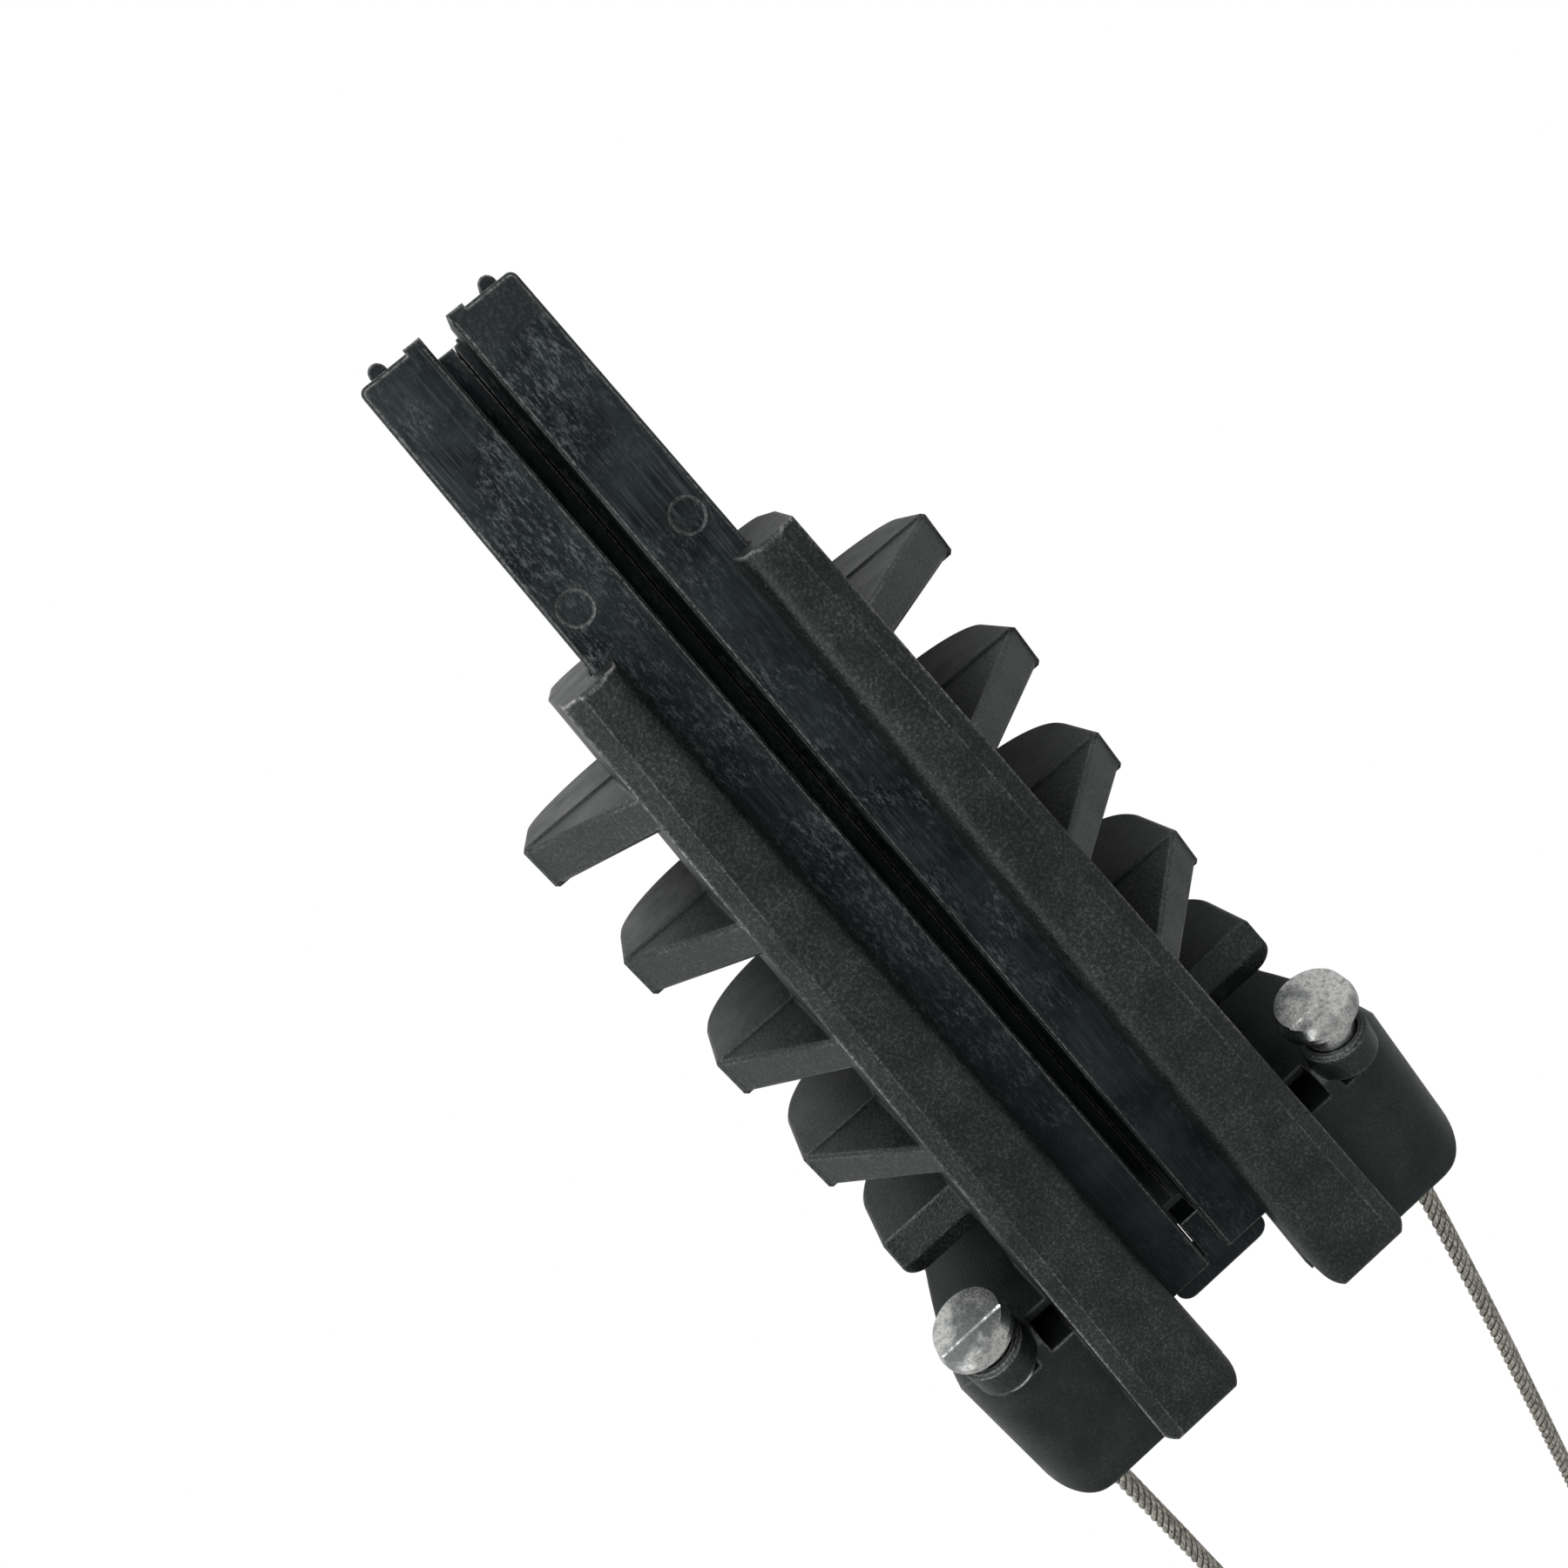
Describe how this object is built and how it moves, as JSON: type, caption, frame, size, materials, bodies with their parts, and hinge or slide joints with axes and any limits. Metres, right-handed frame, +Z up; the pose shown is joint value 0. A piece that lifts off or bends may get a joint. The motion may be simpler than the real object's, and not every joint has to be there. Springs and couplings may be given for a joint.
{
  "type": "wedge tension clamp",
  "caption": "Open ribbed clamp body with a pair of sliding wedges that grip a round aerial cable, and a wire-rope bail for anchoring it.",
  "frame": {"origin": "on the surface the ribs stand on, under the middle of the body and wedges taken together, without the bail rope", "axes": "+X along the cable towards the bail end, +Y towards the wedge that carries the link bar, +Z up out of the open slot"},
  "size_m": [0.4535, 0.1066, 0.0665],
  "materials": {
    "body_plastic": "black weather-resistant moulded plastic, fine grain",
    "wedge_plastic": "black moulded plastic, smooth",
    "fitting_metal": "bright zinc-coated steel",
    "rope_steel": "galvanised wire rope, six strands"
  },
  "bodies": {
    "clamp_body": {"body": "body_plastic", "end_fitting_left": "fitting_metal", "end_fitting_right": "fitting_metal", "bail_rope": "rope_steel"},
    "right_wedge": {"wedge_right": "wedge_plastic"},
    "left_wedge": {"wedge_left": "wedge_plastic"}
  },
  "joints": [
    {"name": "right_wedge_slide", "type": "slide", "parent": "clamp_body", "child": "right_wedge", "axis": [0.9994, 0.0349, 0], "range_m": [0, 0.045]},
    {"name": "left_wedge_slide", "type": "slide", "parent": "clamp_body", "child": "left_wedge", "axis": [0.9994, -0.0349, 0], "range_m": [0, 0.045]}
  ],
  "couplings": [
    {"joint": "left_wedge_slide", "follows": "right_wedge_slide", "ratio": 1}
  ]
}
